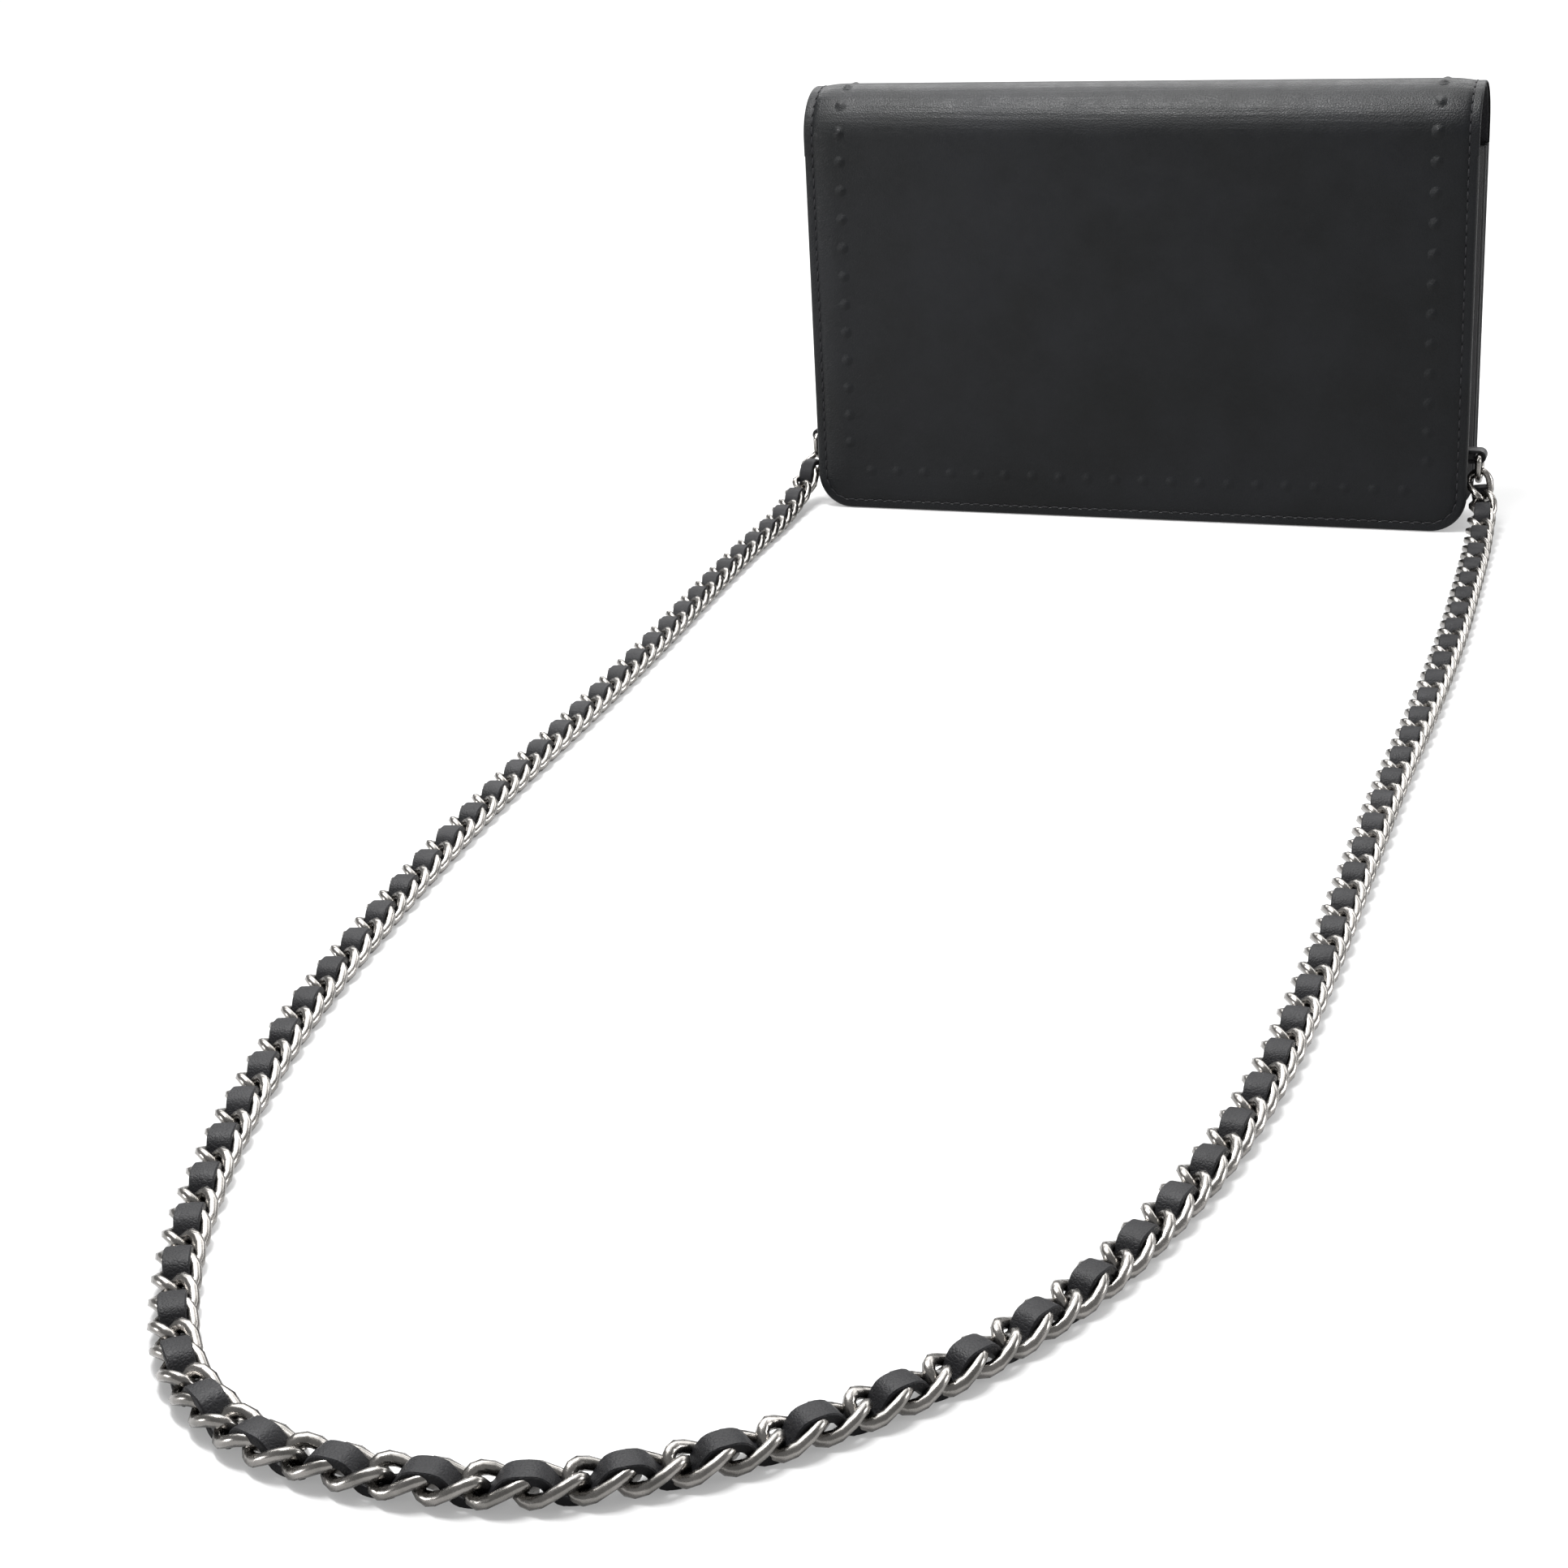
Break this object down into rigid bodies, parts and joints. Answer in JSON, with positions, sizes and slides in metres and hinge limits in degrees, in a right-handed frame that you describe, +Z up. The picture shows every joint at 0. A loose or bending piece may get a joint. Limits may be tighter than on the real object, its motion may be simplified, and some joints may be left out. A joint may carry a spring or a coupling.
{
  "type": "chain wallet",
  "caption": "Flat black leather wallet with a fold-over flap, card slots, a zip pocket and a long metal chain strap laced with leather.",
  "frame": {"origin": "on the floor, under the middle of the wallet's width and depth, without the chain strap", "axes": "+X along the width to the right as seen facing the back panel, +Y from the back panel towards the flap, +Z up towards the fold"},
  "size_m": [0.2132, 0.5274, 0.124],
  "materials": {
    "black_leather": "satin",
    "lining_leather": "matte",
    "board": "matte",
    "pocket_cloth": "matte",
    "tape_cloth": "matte",
    "zip_metal": "polished",
    "chain_metal": "polished",
    "chain_strap": "satin"
  },
  "bodies": {
    "root": {"back_leather": "black_leather", "back_board": "board", "back_lining": "lining_leather", "front_leather": "black_leather", "front_board": "board", "front_lining": "lining_leather", "gusset": "black_leather", "card_backing": "lining_leather", "card_slot_1": "lining_leather", "card_slot_2": "lining_leather", "card_slot_3": "lining_leather", "card_slot_4": "lining_leather", "card_slot_5": "lining_leather", "card_slot_6": "lining_leather", "zip_pocket": "pocket_cloth", "zip_tape_rear": "tape_cloth", "zip_tape_front": "tape_cloth", "zip_teeth_rear": "zip_metal", "zip_teeth_front": "zip_metal", "zip_stops": "zip_metal", "snap_socket": "zip_metal", "tab_left": "black_leather", "tab_right": "black_leather", "chain_strap": "chain_strap"},
    "fold_1": {"fold_leather_1": "black_leather", "fold_lining_1": "lining_leather"},
    "fold_2": {"fold_leather_2": "black_leather", "fold_lining_2": "lining_leather"},
    "fold_3": {"fold_leather_3": "black_leather", "fold_lining_3": "lining_leather"},
    "flap": {"flap_leather": "black_leather", "flap_board": "board", "flap_lining": "lining_leather", "snap_stud": "zip_metal"},
    "slider": {"zip_slider": "zip_metal"},
    "pull": {"zip_pull": "zip_metal"},
    "left_ring": {"ring_left": "chain_metal"},
    "right_ring": {"ring_right": "chain_metal"}
  },
  "joints": [
    {"name": "flap_bend_1", "type": "hinge", "parent": "root", "child": "fold_1", "pos_m": [0, -0.01293, 0.11536], "axis": [1, 0, 0], "range_deg": [0, 45]},
    {"name": "flap_bend_2", "type": "hinge", "parent": "fold_1", "child": "fold_2", "pos_m": [0, -0.00536, 0.12293], "axis": [1, 0, 0], "range_deg": [0, 45]},
    {"name": "flap_bend_3", "type": "hinge", "parent": "fold_2", "child": "fold_3", "pos_m": [0, 0.00536, 0.12293], "axis": [1, 0, 0], "range_deg": [0, 45]},
    {"name": "flap_bend_4", "type": "hinge", "parent": "fold_3", "child": "flap", "pos_m": [0, 0.01293, 0.11536], "axis": [1, 0, 0], "range_deg": [0, 45]},
    {"name": "zip_slide", "type": "slide", "parent": "root", "child": "slider", "axis": [-1, 0, 0], "range_m": [0, 0.126]},
    {"name": "zip_pull_hinge", "type": "hinge", "parent": "slider", "child": "pull", "pos_m": [0.064, 0.0002, 0.0936], "axis": [0, 1, 0], "range_deg": [0, 160]},
    {"name": "left_ring_hinge", "type": "hinge", "parent": "root", "child": "left_ring", "pos_m": [-0.0983, -0.0028, 0.02], "axis": [0, 1, 0], "range_deg": [0, 45]},
    {"name": "right_ring_hinge", "type": "hinge", "parent": "root", "child": "right_ring", "pos_m": [0.0983, -0.0028, 0.02], "axis": [0, -1, 0], "range_deg": [0, 45]}
  ],
  "couplings": [
    {"joint": "flap_bend_2", "follows": "flap_bend_1", "ratio": 1},
    {"joint": "flap_bend_3", "follows": "flap_bend_1", "ratio": 1},
    {"joint": "flap_bend_4", "follows": "flap_bend_1", "ratio": 1}
  ]
}
